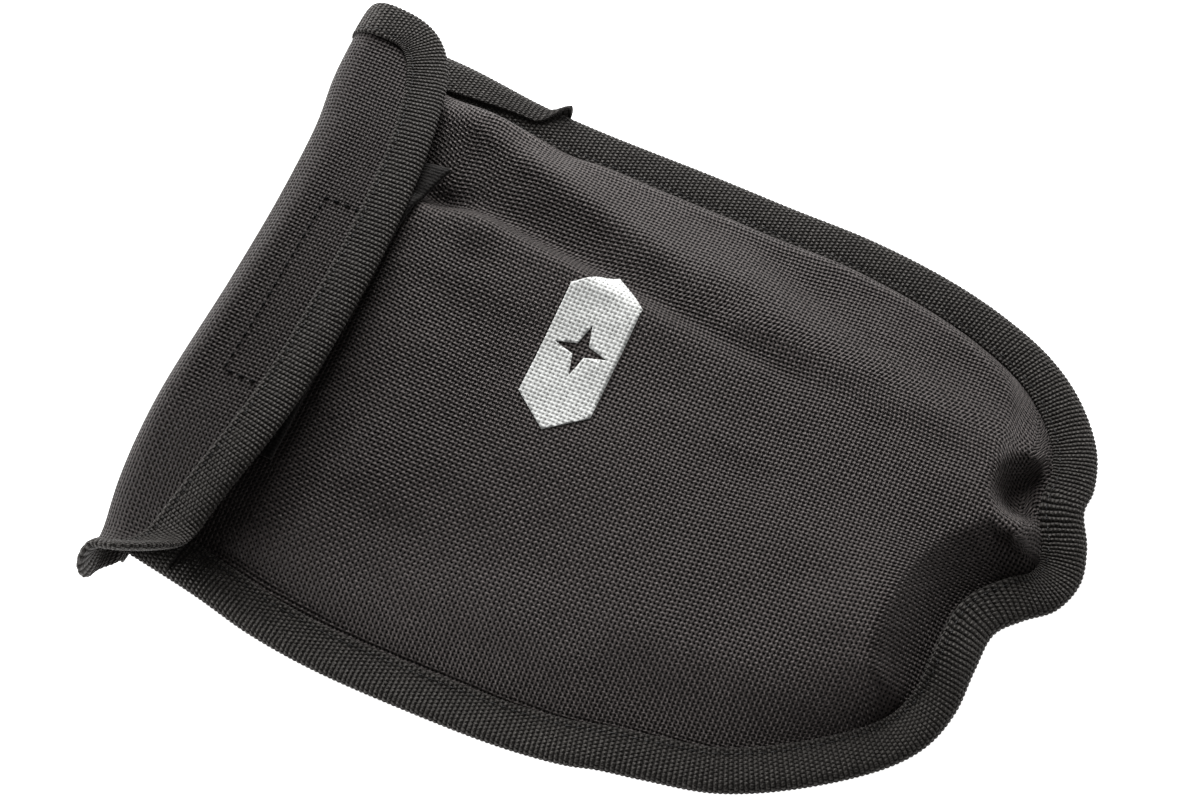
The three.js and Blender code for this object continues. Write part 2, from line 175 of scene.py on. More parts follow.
class Nodes:
    """A short way to write a node tree: each call adds a node and returns its output."""

    def __init__(self, name):
        self.material = bpy.data.materials.new(name)
        self.material.use_nodes = True
        self.tree = self.material.node_tree
        self.shader = self.tree.nodes["Principled BSDF"]

    def put(self, socket, value):
        if isinstance(value, bpy.types.NodeSocket):
            self.tree.links.new(value, socket)
        else:
            socket.default_value = value

    def math(self, operation, *values):
        node = self.tree.nodes.new("ShaderNodeMath")
        node.operation = operation
        for socket, value in zip(node.inputs, values):
            self.put(socket, value)
        return node.outputs[0]

    def add(self, first, second):
        return self.math("ADD", first, second)

    def sub(self, first, second):
        return self.math("SUBTRACT", first, second)

    def mul(self, first, second):
        return self.math("MULTIPLY", first, second)

    def cloth_xy(self):
        """Cloth coordinates in millimetres, along the yarns."""
        uv = self.tree.nodes.new("ShaderNodeUVMap")
        uv.uv_map = "cloth"
        split = self.tree.nodes.new("ShaderNodeSeparateXYZ")
        self.put(split.inputs[0], uv.outputs[0])
        return (
            self.mul(split.outputs[0], 1000.0),
            self.mul(split.outputs[1], 1000.0),
        )

    def noise(self, scale, detail=2.0, x=None, y=None):
        """Noise over the piece, or over the two given coordinates; scale is per metre."""
        node = self.tree.nodes.new("ShaderNodeTexNoise")
        if x is None:
            place = self.tree.nodes.new("ShaderNodeTexCoord").outputs["Object"]
        else:
            join = self.tree.nodes.new("ShaderNodeCombineXYZ")
            self.put(join.inputs[0], x)
            self.put(join.inputs[1], y)
            place = join.outputs[0]
        self.put(node.inputs["Vector"], place)
        self.put(node.inputs["Scale"], scale)
        self.put(node.inputs["Detail"], detail)
        return node.outputs["Fac"]

    def sway(self, swing, *noise):
        """Noise about nought that spans swing."""
        return self.mul(self.sub(self.noise(*noise), 0.5), swing)

    def ramp(self, value, low, high, out_low=0.0, out_high=1.0):
        node = self.tree.nodes.new("ShaderNodeMapRange")
        node.interpolation_type = "SMOOTHSTEP"
        for socket, number in zip(node.inputs, (value, low, high, out_low, out_high)):
            self.put(socket, number)
        return node.outputs[0]

    def mix(self, factor, first, second):
        node = self.tree.nodes.new("ShaderNodeMix")
        node.data_type = "RGBA"
        self.put(node.inputs["Factor"], factor)
        self.put(node.inputs[6], (*first, 1) if isinstance(first, tuple) else first)
        self.put(node.inputs[7], (*second, 1) if isinstance(second, tuple) else second)
        return node.outputs[2]

    def lint(self, color, scale, least, share, tint):
        """A colour with specks of lint; the nearer least is to 0.8, the fewer."""
        specks = self.ramp(self.noise(scale, 2.0), least, 0.80)
        return self.mix(self.mul(specks, share), color, tint)

    def bump(self, height, distance):
        node = self.tree.nodes.new("ShaderNodeBump")
        self.put(node.inputs["Height"], height)
        self.put(node.inputs["Distance"], distance)
        self.put(node.inputs["Strength"], 1.0)
        self.put(self.shader.inputs["Normal"], node.outputs[0])

    def finish(self, color, roughness, sheen=0.0, specular=0.5):
        self.put(self.shader.inputs["Base Color"], color)
        self.put(self.shader.inputs["Roughness"], roughness)
        self.shader.inputs["Sheen Weight"].default_value = sheen
        self.shader.inputs["Sheen Roughness"].default_value = 0.35
        self.shader.inputs["Sheen Tint"].default_value = (1.0, 0.93, 0.91, 1)
        self.shader.inputs["Specular IOR Level"].default_value = specular
        return self.material


def yarn_weave(n, pitch):
    """A plain weave: each crossing is a short pillow, long along the yarn that is on top, with
    a pinhole where four yarns meet. Returns the height, the pinholes and the crossing."""
    x, y = n.cloth_xy()
    wander = n.sway(0.6, 0.11, 1.0, x, y)
    jitter = n.sway(0.25, 0.9, 1.0, y, x)
    x = n.math("DIVIDE", n.add(n.add(x, wander), jitter), pitch)
    y = n.math("DIVIDE", n.sub(n.sub(y, wander), jitter), pitch)
    column = n.math("FLOOR", n.add(x, 0.5))
    row = n.math("FLOOR", n.add(y, 0.5))
    parity = n.math("FLOORED_MODULO", n.add(column, row), 2.0)
    across_x = n.math("POWER", n.math("SINE", n.mul(x, math.pi)), 2.0)
    across_y = n.math("POWER", n.math("SINE", n.mul(y, math.pi)), 2.0)
    side = n.add(n.mul(across_x, parity), n.mul(across_y, n.sub(1.0, parity)))
    end = n.sub(n.add(across_x, across_y), side)
    hole = n.mul(across_x, across_y)
    drop = n.add(n.mul(n.math("POWER", side, 1.5), 0.45), n.mul(end, 0.15))
    height = n.sub(n.sub(1.0, drop), n.mul(hole, 0.5))
    return height, hole, (column, row)


def nylon_material(name, openness, shade):
    """openness is how dark the pinholes of the weave are, 0 to 1. shade scales the yarns'
    colours and gloss, and in part their relief; below 1 it gives a darker copy of the nylon,
    with painted shade on cloth that the key light would show too bright."""
    n = Nodes(name)
    black = (0.0006, 0.0005, 0.0005)
    height, hole, (column, row) = yarn_weave(n, WEAVE)
    slub = n.noise(0.73, 0.0, column, row)
    cloudy = n.noise(38.0, 3.0)
    crown = n.mix(n.ramp(slub, 0.3, 0.7), (0.0115, 0.0092, 0.0086), (0.0300, 0.0240, 0.0225))
    crown = n.mix(n.ramp(cloudy, 0.35, 0.65, 0.0, 0.35), crown, (0.0180, 0.0155, 0.0150))
    # The yarn darkens where it dips under its neighbours and the pinholes go near black: partly
    # real gaps in the weave, partly painted shade in its hollows.
    crown = n.mix(n.ramp(height, 0.45, 0.8), (0.010, 0.0085, 0.0085), crown)
    open_weave = n.ramp(n.noise(16.0, 2.0), 0.35, 0.65, 0.55 * openness, openness)
    pit = n.mul(n.ramp(hole, 0.25, 0.62), open_weave)
    color = n.mix(pit, n.mix(shade, black, crown), black)
    color = n.lint(color, 900.0, 0.755, 0.5, (0.30, 0.28, 0.27))
    fibres = n.noise(3.1, 2.0, *n.cloth_xy())
    n.bump(n.add(height, n.mul(fibres, 0.16)), 0.00075 * (0.4 + 0.6 * shade))
    shine = n.ramp(hole, 0.2, 0.6, 0.48, 0.05)
    gloss_tint = n.mix(n.ramp(hole, 0.2, 0.6), (1.0, 0.88, 0.85), (0.05, 0.05, 0.05))
    n.put(n.shader.inputs["Specular Tint"], gloss_tint)
    return n.finish(color, n.sub(1.0, shine), sheen=0.2 * shade, specular=0.5 * shade)


def tape_material():
    """Grosgrain: ribs across the tape, each a row of knuckles set off against the next."""
    n = Nodes("binding_tape")
    x, y = n.cloth_xy()
    x = n.add(x, n.sway(0.9, 0.35, 1.0, x, y))
    rib = n.math("ABSOLUTE", n.math("COSINE", n.mul(x, math.pi / RIB)))
    cell = n.math("FLOOR", n.add(n.math("DIVIDE", x, RIB), 0.5))
    shift = n.mul(n.math("FLOORED_MODULO", cell, 2.0), BEAD / 2)
    along = n.mul(n.add(y, shift), math.pi / BEAD)
    bead = n.math("POWER", n.math("ABSOLUTE", n.math("SINE", along)), 0.7)
    grain = n.mul(n.noise(2.3, 1.0, x, y), 0.35)
    height = n.mul(n.math("POWER", rib, 0.6), n.math("MULTIPLY_ADD", bead, 0.74, 0.26))
    height = n.add(n.mul(height, 0.85), grain)
    tint = n.mix(n.ramp(n.noise(55.0, 2.0), 0.35, 0.65), (0.0140, 0.0132, 0.0116),
                 (0.0226, 0.0212, 0.0186))
    bead_tint = n.ramp(n.noise(0.8, 0.0, x, y), 0.3, 0.7, 0.75, 1.35)
    scale = n.tree.nodes.new("ShaderNodeVectorMath")
    scale.operation = "SCALE"
    n.put(scale.inputs[0], tint)
    n.put(scale.inputs["Scale"], bead_tint)
    # The grooves between the ribs go nearly black: partly the ribbed pattern, partly painted shade
    # in the grooves.
    color = n.mix(n.ramp(height, 0.3, 0.78), (0.0010, 0.0010, 0.0009), scale.outputs[0])
    color = n.lint(color, 1000.0, 0.76, 0.4, (0.3, 0.29, 0.28))
    n.bump(height, 0.0009)
    n.shader.inputs["Specular Tint"].default_value = (1.0, 0.93, 0.88, 1)
    return n.finish(color, n.ramp(height, 0.2, 1.0, 0.9, 0.52), sheen=0.12, specular=0.4)


def thread_material(name, shade):
    n = Nodes(name)
    x, y = n.cloth_xy()
    twist = n.math("SINE", n.mul(n.add(x, y), 9.0))
    n.bump(twist, 0.00006)
    color = n.mix(n.ramp(twist, -1.0, 1.0, 0.4 * shade, shade), (0.0, 0.0, 0.0),
                  (0.016, 0.015, 0.015))
    return n.finish(color, 0.5, specular=0.4 * shade)


def pile_material(name, color, scale, depth):
    """Hook tape and loop tape: a short pile in rows."""
    n = Nodes(name)
    rows = n.math("SINE", n.mul(n.cloth_xy()[0], 2 * math.pi / 1.05))
    tufts = n.math("MULTIPLY_ADD", rows, 0.13, n.noise(scale, 3.0))
    fuzz = n.noise(scale * 0.3, 2.0)
    dark = tuple(c * 0.25 for c in color)
    n.bump(n.add(tufts, fuzz), depth)
    return n.finish(n.mix(n.ramp(tufts, 0.35, 0.62), dark, color), 0.9, sheen=0.1, specular=0.2)


def webbing_material():
    n = Nodes("webbing")
    height, _, _ = yarn_weave(n, 1.9)
    color = n.mix(n.ramp(height, 0.05, 0.7), (0.004, 0.004, 0.004), (0.032, 0.031, 0.030))
    n.bump(height, 0.0005)
    return n.finish(color, n.ramp(height, 0.0, 1.0, 0.8, 0.5), sheen=0.08, specular=0.4)


def ink_material():
    n = Nodes("print_ink")
    height, hole, _ = yarn_weave(n, WEAVE)
    worn = n.noise(420.0, 3.0)
    color = n.mix(n.ramp(worn, 0.4, 0.7), (0.86, 0.87, 0.85), (0.76, 0.77, 0.75))
    pinhole = n.mul(n.ramp(hole, 0.45, 0.85), n.ramp(worn, 0.35, 0.6, 0.2, 0.75))
    color = n.mix(pinhole, color, (0.10, 0.097, 0.094))
    n.bump(height, 0.0002)
    return n.finish(color, 0.6, specular=0.3)


# ---- mesh helpers ----


def smoothstep(value, low, high):
    t = np.clip((np.asarray(value, float) - low) / (high - low), 0, 1)
    return t * t * (3 - 2 * t)


def make_object(name, points, faces, uvs, material):
    """A mesh object from points in mm, faces, and each point's cloth coordinates in mm."""
    mesh = bpy.data.meshes.new(name)
    mesh.from_pydata([tuple(p) for p in np.asarray(points) * MM], [], [tuple(f) for f in faces])
    mesh.validate()
    layer = mesh.uv_layers.new(name="cloth")
    corner = np.zeros(len(mesh.loops), int)
    mesh.loops.foreach_get("vertex_index", corner)
    layer.data.foreach_set("uv", (np.asarray(uvs)[corner] * MM).ravel())
    mesh.polygons.foreach_set("use_smooth", [True] * len(mesh.polygons))
    mesh.materials.append(material)
    made = bpy.data.objects.new(name, mesh)
    bpy.context.scene.collection.objects.link(made)
    return made


def attach(made, body, node):
    """Hides the CAD node that a finished piece stands for, and hangs the piece from the body that
    it goes with; a piece that goes with a bend is baked in place instead."""
    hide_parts(node)
    if isinstance(body, str):
        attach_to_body(made, body)
    else:
        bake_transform(made)


def normals_of(grid):
    """Unit normals of a grid of points, along (columns) x (rows)."""
    along = np.gradient(grid, axis=1)
    across = np.gradient(grid, axis=0)
    normal = np.cross(along, across)
    return normal / np.maximum(np.linalg.norm(normal, axis=2, keepdims=True), 1e-9)


def cloth_coordinates(grid):
    """Arc lengths along the rows and the columns, so that the weave keeps its size on folds."""
    step_u = np.linalg.norm(np.diff(grid, axis=1), axis=2)
    u = np.concatenate([np.zeros((len(grid), 1)), np.cumsum(step_u, axis=1)], axis=1)
    middle = u.shape[1] // 2
    u = u - u[:, middle:middle + 1]
    step_v = np.linalg.norm(np.diff(grid, axis=0), axis=2)
    v = np.concatenate([np.zeros((1, grid.shape[1])), np.cumsum(step_v, axis=0)], axis=0)
    v = v - v[-1:, :]
    return np.stack([u, v], axis=2)


def sheet(name, grid, thickness, material, uv=None):
    """A closed cloth shell round a grid of middle points."""
    rows, columns = grid.shape[:2]
    normal = normals_of(grid)
    uv = cloth_coordinates(grid) if uv is None else uv
    points = np.concatenate([(grid + normal * thickness / 2).reshape(-1, 3),
                             (grid - normal * thickness / 2).reshape(-1, 3)])
    uvs = np.concatenate([uv.reshape(-1, 2)] * 2)
    index = np.arange(rows * columns).reshape(rows, columns)
    a, b = index[:-1, :-1].ravel(), index[:-1, 1:].ravel()
    c, d = index[1:, 1:].ravel(), index[1:, :-1].ravel()
    layer = rows * columns
    faces = np.concatenate([np.stack([a, b, c, d], 1), np.stack([a, d, c, b], 1) + layer])
    rim = np.concatenate([index[0, :-1], index[:-1, -1], index[-1, :0:-1], index[:0:-1, 0]])
    after = np.roll(rim, -1)
    sides = np.stack([rim, rim + layer, after + layer, after], 1)
    return make_object(name, points, np.concatenate([faces, sides]), uvs, material)


def arc_lengths(path):
    """How far along a polyline each of its points is."""
    return np.concatenate([[0], np.cumsum(np.linalg.norm(np.diff(path, axis=0), axis=1))])


def between(at, known, rows):
    """Rows of numbers that are given at known places, read at other places."""
    return np.stack([np.interp(at, known, column) for column in rows.T], 1)


def resample(path, count=None, step=None):
    """Points evenly spaced along a polyline, and their arc lengths."""
    path = np.asarray(path, float)
    length = arc_lengths(path)
    count = count or max(2, int(round(length[-1] / step)) + 1)
    at = np.linspace(0, length[-1], count)
    return between(at, length, path), at


def binding_section(half, lip):
    """A folded tape's C-shaped section as (inward, up) points: the outer skin from the top
    lip round the fold to the bottom lip, and the inner skin back."""
    top = lip + TAPE
    reach = np.array([TAPE_FOLDED, 12.3, 11.6, SEAM_IN, 10.0, 8.6, 6.6, 4.6, 2.8, 1.4, 0.5, 0.0])
    rise = np.array([lip + TAPE * 0.5, top, top * 0.98, top - 0.22, top, half * 0.97, half,
                     half, half * 0.93, half * 0.76, half * 0.46, 0.0])
    outer = np.concatenate([np.stack([reach, rise], 1), np.stack([reach, -rise], 1)[-2::-1]])
    inner_reach = np.array([TAPE_FOLDED - 0.1, 9.0, 4.0, 1.6, 0.95])
    inner_rise = np.array([lip, lip * 1.05, lip * 1.05, lip * 0.8, 0.0])
    inner = np.concatenate([np.stack([inner_reach, -inner_rise], 1),
                            np.stack([inner_reach, inner_rise], 1)[-2::-1]])
    return outer, inner


def bind(node, body, path, place, half, lip, tape, phase=0.0):
    """Ribbed tape folded over an edge. path has a row per station, four stations to a rib;
    place(reach, rise) gives the points at those distances inwards and upwards from it."""
    outer, inner = binding_section(half, lip)
    outward = np.stack([-np.gradient(outer[:, 1]), np.gradient(outer[:, 0])], 1)
    outward /= np.linalg.norm(outward, axis=1, keepdims=True)
    outward *= np.sign(((outer - [TAPE_FOLDED / 2, 0]) * outward).sum(1))[:, None]
    length = arc_lengths(path)
    rib = np.abs(np.cos(math.pi * (length + phase) / RIB)) - 0.62
    # the ribs stand out most at the fold and along the stitching
    relief = 0.17 + 0.14 * np.exp(-(outer[:, 0] / 1.5) ** 2)
    relief = relief + 0.10 * np.exp(-((outer[:, 0] - SEAM_IN) / 1.4) ** 2)
    shape = outer[None] + (outward * relief[:, None])[None] * rib[:, None, None]
    section = np.concatenate([shape, np.tile(inner, (len(path), 1, 1))], axis=1)
    points = place(section[..., 0], section[..., 1])
    ring = section.shape[1]
    uvs = np.zeros((len(path), ring, 2))
    uvs[..., 0] = (length + phase)[:, None]
    uvs[:, :len(outer), 1] = arc_lengths(outer)
    uvs[:, len(outer):, 1] = inner[:, 0]
    index = np.arange(len(path) * ring).reshape(len(path), ring)
    after = np.roll(index, -1, axis=1)
    faces = np.stack([index[:-1].ravel(), index[1:].ravel(), after[1:].ravel(),
                      after[:-1].ravel()], 1).tolist()
    faces.append(list(index[0]))
    faces.append(list(index[-1][::-1]))
    made = make_object(f"{node}_tape", points.reshape(-1, 3), faces, uvs.reshape(-1, 2), tape)
    fix_normals(made)
    attach(made, body, node)


def fix_normals(made):
    """Turns every face of a closed mesh outwards."""
    work = bmesh.new()
    work.from_mesh(made.data)
    bmesh.ops.recalc_face_normals(work, faces=work.faces)
    work.to_mesh(made.data)
    work.free()


def sew(stem, body, path, up, thread, length=2.5, pitch=3.2, radius=0.24, sink=0.08,
        node="{}_stitching"):
    """A run of lockstitch: short threads that dive into the cloth at both ends."""
    fine, at = resample(path, step=0.4)
    up = between(np.linspace(0, 1, len(fine)), np.linspace(0, 1, len(up)), up)
    ring_count, along_count = 6, 7
    points, faces, uvs = [], [], []
    for start in np.arange(0.4, at[-1] - length, pitch):
        along = np.linspace(start, start + length, along_count)
        line = between(along, at, fine)
        rise = between(along, at, up)
        share = np.linspace(0, 1, along_count)
        arch = np.sin(math.pi * share) ** 0.6
        thick = radius * (0.35 + 0.65 * arch)
        direction = np.gradient(line, axis=0)
        direction /= np.linalg.norm(direction, axis=1, keepdims=True)
        side = np.cross(direction, rise)
        first = len(points)
        for k in range(along_count):
            middle = line[k] + rise[k] * (radius * 1.3 * arch[k] - radius - sink)
            for j in range(ring_count):
                angle = 2 * math.pi * j / ring_count
                points.append(middle + thick[k] * (math.cos(angle) * side[k]
                                                   + math.sin(angle) * rise[k]))
                uvs.append((along[k], angle * radius))
        for k in range(along_count - 1):
            for j in range(ring_count):
                a = first + k * ring_count + j
                b = first + k * ring_count + (j + 1) % ring_count
                faces.append((a, b, b + ring_count, a + ring_count))
        faces.append(tuple(first + j for j in range(ring_count))[::-1])
        last = first + (along_count - 1) * ring_count
        faces.append(tuple(last + j for j in range(ring_count)))
    made = make_object(f"{stem}_thread", np.array(points), faces, np.array(uvs), thread)
    fix_normals(made)
    attach(made, body, node.format(stem))


def sewn(place, flat, height):
    """A line of stitching at a height over a cloth, and the cloth's normals along it. place()
    gives points over the cloth, and flat is the line in its two coordinates."""
    level = np.zeros(len(flat))
    return place(*flat.T, level + height), place(*flat.T, level + 1) - place(*flat.T, level)


def rectangle(low, high):
    """The corners of a box of stitches, from the lower left round to it again."""
    return [(low[0], low[1]), (high[0], low[1]), (high[0], high[1]), (low[0], high[1]),
            (low[0], low[1])]


# ---- the body's outline ----

# The body's outer edge as it lies, from the right end of the mouth round the tip to the left
# end of the mouth: (x, y, z). The buckled tip is what an empty pouch does.
OUTLINE_POINTS = [
    (103.2, 124, 8.2), (101.8, 100, 7.4), (99.0, 74, 5.0), (98.2, 54, 3.2), (97.0, 14, 2.4),
    (95.6, -12, 2.3), (94.3, -40, 2.3), (90.4, -66, 2.3), (84.7, -86, 2.3), (77.2, -102.5, 2.4),
    (67.3, -115, 2.8), (53.6, -125, 3.2), (41, -128.6, 4.0), (33.5, -128.4, 4.6),
    (24, -132.8, 3.6), (13.5, -134.8, 2.6), (3, -131.4, 3.2), (-4, -124, 4.0), (-11, -118.4, 4.8),
    (-23, -117.4, 5.2), (-36.5, -117, 4.8), (-47.8, -113.6, 4.2), (-57.8, -106, 3.6),
    (-72.8, -86, 2.8), (-83, -65.7, 2.4), (-87.6, -45.7, 2.3), (-90, -33, 2.3), (-92.4, -24, 2.3),
    (-94.8, -5.7, 2.3), (-95.9, 24, 2.4), (-95.8, 54, 3.2), (-94.0, 75, 5.0), (-90.4, 94.3, 7.0),
    (-86.0, 124, 8.2),
]


def spline(points, step):
    """A smooth curve through points (centripetal Catmull-Rom), evenly resampled."""
    points = np.asarray(points, float)
    points = np.concatenate([[2 * points[0] - points[1]], points, [2 * points[-1] - points[-2]]])
    knots = np.concatenate([[0], np.cumsum(np.linalg.norm(np.diff(points, axis=0), axis=1) ** 0.5)])
    curve = []
    for i in range(1, len(points) - 2):
        t0, t1, t2, t3 = knots[i - 1:i + 3]
        t = np.linspace(t1, t2, 40, endpoint=False)[:, None]
        a1 = ((t1 - t) * points[i - 1] + (t - t0) * points[i]) / (t1 - t0)
        a2 = ((t2 - t) * points[i] + (t - t1) * points[i + 1]) / (t2 - t1)
        a3 = ((t3 - t) * points[i + 1] + (t - t2) * points[i + 2]) / (t3 - t2)
        b1 = ((t2 - t) * a1 + (t - t0) * a2) / (t2 - t0)
        b2 = ((t3 - t) * a2 + (t - t1) * a3) / (t3 - t1)
        curve.append(((t2 - t) * b1 + (t - t1) * b2) / (t2 - t1))
    curve.append(points[-2:-1])
    return resample(np.concatenate(curve), step=step)[0]


def bell(reach, sigma):
    """A Gaussian kernel that ends reach steps from its middle."""
    kernel = np.exp(-0.5 * (np.arange(-reach, reach + 1) / sigma) ** 2)
    return kernel / kernel.sum()


def smooth_rows(rows, sigma):
    """Rows of numbers smoothed along the first axis; the ends stay."""
    reach = int(3 * sigma)
    kernel = bell(reach, sigma)
    padded = np.pad(rows, [(reach, reach), (0, 0)], mode="reflect", reflect_type="odd")
    return np.stack([np.convolve(padded[:, k], kernel, "valid") for k in range(rows.shape[1])], 1)


def inward_of(path):
    """Unit vectors pointing into a path that runs clockwise round its inside."""
    along = np.gradient(path[:, :2], axis=0)
    along /= np.linalg.norm(along, axis=1, keepdims=True)
    return np.stack([along[:, 1], -along[:, 0]], 1)


def facing_in(path, sigma):
    """inward_of, smoothed over sigma millimetres."""
    step = np.linalg.norm(path[1, :2] - path[0, :2])
    inward = smooth_rows(inward_of(path), sigma / step)
    return inward / np.linalg.norm(inward, axis=1, keepdims=True)


OUTLINE = spline(OUTLINE_POINTS, 0.5)
OUTLINE_INWARD = facing_in(OUTLINE, 4.0)


def nearest_edge(x, y):
    """For each point: its distance from the outline and the index of the nearest place."""
    flat = np.stack([x.ravel(), y.ravel()], 1)
    coarse = OUTLINE[::2, :2]
    distance = np.empty(len(flat))
    index = np.empty(len(flat), int)
    for start in range(0, len(flat), 4000):
        part = flat[start:start + 4000]
        gap = np.hypot(part[:, None, 0] - coarse[None, :, 0], part[:, None, 1] - coarse[None, :, 1])
        best = gap.argmin(1)
        distance[start:start + 4000] = gap[np.arange(len(part)), best]
        index[start:start + 4000] = best * 2
    return distance.reshape(x.shape), index.reshape(x.shape)


# ---- the front panel's relief ----

# Lines that run along the pouch, as (y, x, z): the front panel is stretched between them.
LEFT_SLOPE = [(130, -62, 13.5), (90, -62, 12), (40, -60, 10.5), (0, -58, 10), (-60, -52, 9.5),
              (-100, -40, 10), (-140, -30, 9)]
RIDGE = [(130, 42, 20), (94, 46, 21), (77, 47, 21.5), (62, 47, 21.5), (30, 42.5, 20.5),
         (5, 38, 19), (-16, 34.5, 18), (-50, 31, 16.5), (-75, 27, 15.5), (-93, 25, 15),
         (-140, 20, 12)]
VALLEY = [(130, 46.5, 12), (94, 50.5, 12), (77, 51, 13), (62, 50.5, 13.5), (30, 46, 14.3),
          (5, 42, 14.8), (-16, 38.5, 14.8), (-50, 35, 14.6), (-75, 31, 14.4), (-93, 29, 14),
          (-140, 24, 11)]
CREST = [(130, 82, 18), (94, 79, 18.5), (72, 75, 18.5), (50, 68.5, 18.5), (18, 60, 18.5),
         (-8, 52.5, 18), (-45, 44, 17), (-70, 39, 16), (-89, 36, 15), (-140, 32, 10)]
CREST_SIDE = [(130, 90, 12), (94, 87, 12.5), (72, 85, 12.5), (50, 81.5, 12), (18, 79, 11.5),
              (-8, 76, 11), (-45, 71, 10.5), (-70, 64, 9.5), (-89, 56, 9), (-140, 44, 7)]
RAILS = [LEFT_SLOPE, RIDGE, VALLEY, CREST, CREST_SIDE]
CELL = 1.0  # of the lattice that the relief is worked out on
LATTICE_X = np.arange(-125, 126, CELL)
LATTICE_Y = np.arange(-150, 151, CELL)


def rail_at(rail, y):
    """A rail's x and z at each y, eased between its points."""
    points = np.array(sorted(rail))
    fine = np.linspace(points[0, 0], points[-1, 0], 400)
    kernel = np.hanning(41)
    kernel /= kernel.sum()
    values = []
    for column in (1, 2):
        line = np.interp(fine, points[:, 0], points[:, column])
        line = np.convolve(np.pad(line, 20, mode="reflect", reflect_type="odd"), kernel, "valid")
        values.append(np.interp(y, fine, line))
    return values


def blur(field, sigma, axis):
    reach = int(math.ceil(3 * sigma))
    kernel = bell(reach, sigma)
    padded = np.pad(field, [(reach, reach) if k == axis else (0, 0) for k in range(2)],
                    mode="edge")
    return np.apply_along_axis(lambda line: np.convolve(line, kernel, "valid"), axis, padded)


def noise_field(seed, sigma_x, sigma_y):
    """Seeded smooth noise of unit size over the lattice, sigma in mm."""
    rough = np.random.default_rng(seed).standard_normal((len(LATTICE_Y), len(LATTICE_X)))
    field = blur(blur(rough, sigma_x / CELL, 1), sigma_y / CELL, 0)
    return field / field.std()


def turned(x0, y0, wide, high, angle):
    """Lattice coordinates about a point, along a line turned by angle degrees and across it,
    as shares of wide and high."""
    turn = math.radians(angle)
    dx, dy = LATTICE_X[None, :] - x0, LATTICE_Y[:, None] - y0
    along = dx * math.cos(turn) + dy * math.sin(turn)
    across = dy * math.cos(turn) - dx * math.sin(turn)
    return along / wide, across / high


def mound(*place):
    """A soft rise of unit height."""
    along, across = turned(*place)
    return np.exp(-along ** 2 - across ** 2)


def pocket(*place):
    """A rise of unit height with a flat top and a fairly sharp brink."""
    return 1 - smoothstep(np.hypot(*turned(*place)), 0.45, 1.1)


# Rises and hollows of the front panel: (height, x, y, wide, high, angle).
MOUNDS = [
    (4.5, -18, -88, 26, 16, 20),  # over the buckled tip
    (4.4, 85, 81, 7, 13, 0), (-2.4, 84, 57, 7, 8, 0),  # inside the right tail
    (1.5, 45, 68, 7, 7, 0), (-3.0, 50, 84, 5, 6, 0),  # the crease's upper end
    (-1.6, -58, 46, 16, 24, 20), (-1.4, -42, 78, 30, 7, -8),  # upper left
    (1.2, -20, -20, 34, 22, 35), (1.0, -35, -62, 20, 12, 30),  # the belly
    (-1.2, -62, -28, 10, 26, -25),
    (0.8, 56, -20, 6, 24, -18), (-0.8, 64, -34, 5, 22, -20),  # right of the crest
]
POCKETS = [(-8.0, 31, -112, 12, 10, -25), (-3.0, 17, -121, 9, 6, 10)]  # dents of the tip


def front_relief():
    """Height of the front panel over the lattice, away from its bound edge."""
    field = np.zeros((len(LATTICE_Y), len(LATTICE_X)))
    rails = [rail_at(rail, LATTICE_Y) for rail in RAILS]
    for j in range(len(LATTICE_Y)):
        xs = [-110.0] + [rail[0][j] for rail in rails] + [112.0]
        zs = [rails[0][1][j] * 0.55] + [rail[1][j] for rail in rails] + [rails[-1][1][j] - 3]
        field[j] = np.interp(LATTICE_X, xs, zs)
    crisp = blur(blur(field, 1.5, 1), 3.0, 0)
    soft = blur(blur(field, 5.0, 1), 6.0, 0)
    keep = smoothstep(LATTICE_Y, -75, 25)[:, None]
    field = crisp * keep + soft * (1 - keep)
    for shape, places in ((mound, MOUNDS), (pocket, POCKETS)):
        for height, *place in places:
            field += height * shape(*place)
    return field + 0.45 * noise_field(11, 9, 14) + 0.16 * noise_field(12, 3.2, 5)


RELIEF = front_relief()


def on_lattice(field, x, y):
    """Bilinear reading of a lattice field at x, y."""
    fx = np.clip((x - LATTICE_X[0]) / CELL, 0, len(LATTICE_X) - 1.001)
    fy = np.clip((y - LATTICE_Y[0]) / CELL, 0, len(LATTICE_Y) - 1.001)
    i, j = fx.astype(int), fy.astype(int)
    a, b = fx - i, fy - j
    return (field[j, i] * (1 - a) * (1 - b) + field[j, i + 1] * a * (1 - b)
            + field[j + 1, i] * (1 - a) * b + field[j + 1, i + 1] * a * b)


# How far inside the tape the front panel reaches its full height: from the left, the right and
# the tip, and along the tip's tucked-in part about TUCK_X.
REACH_LEFT, REACH_RIGHT, REACH_TIP, REACH_TUCK = 30, 5.0, 9, 15.5
TUCK_X = -20
BACK_REACH = 48  # the same for the back panel


def front_height(x, y):
    """Height of the front panel's middle."""
    distance, index = nearest_edge(x, y)
    inward = OUTLINE_INWARD[index]
    seam = OUTLINE[index, 2] + PLY
    from_left = np.maximum(inward[..., 0], 0) ** 2
    from_right = np.maximum(-inward[..., 0], 0) ** 2
    from_tip = inward[..., 1] ** 2
    reach = REACH_LEFT * from_left + REACH_RIGHT * from_right + REACH_TIP * from_tip
    tuck = np.exp(-((OUTLINE[index, 0] - TUCK_X) / 27) ** 4) * (OUTLINE[index, 1] < -90)
    reach = reach + (REACH_TUCK - reach) * tuck
    inside = np.clip((distance - TAPE_FOLDED - 0.2) / reach, 0, 1)
    share = 1 - (1 - inside) ** (2.2 - 1.05 * tuck)
    return seam + (on_lattice(RELIEF, x, y) - seam) * share


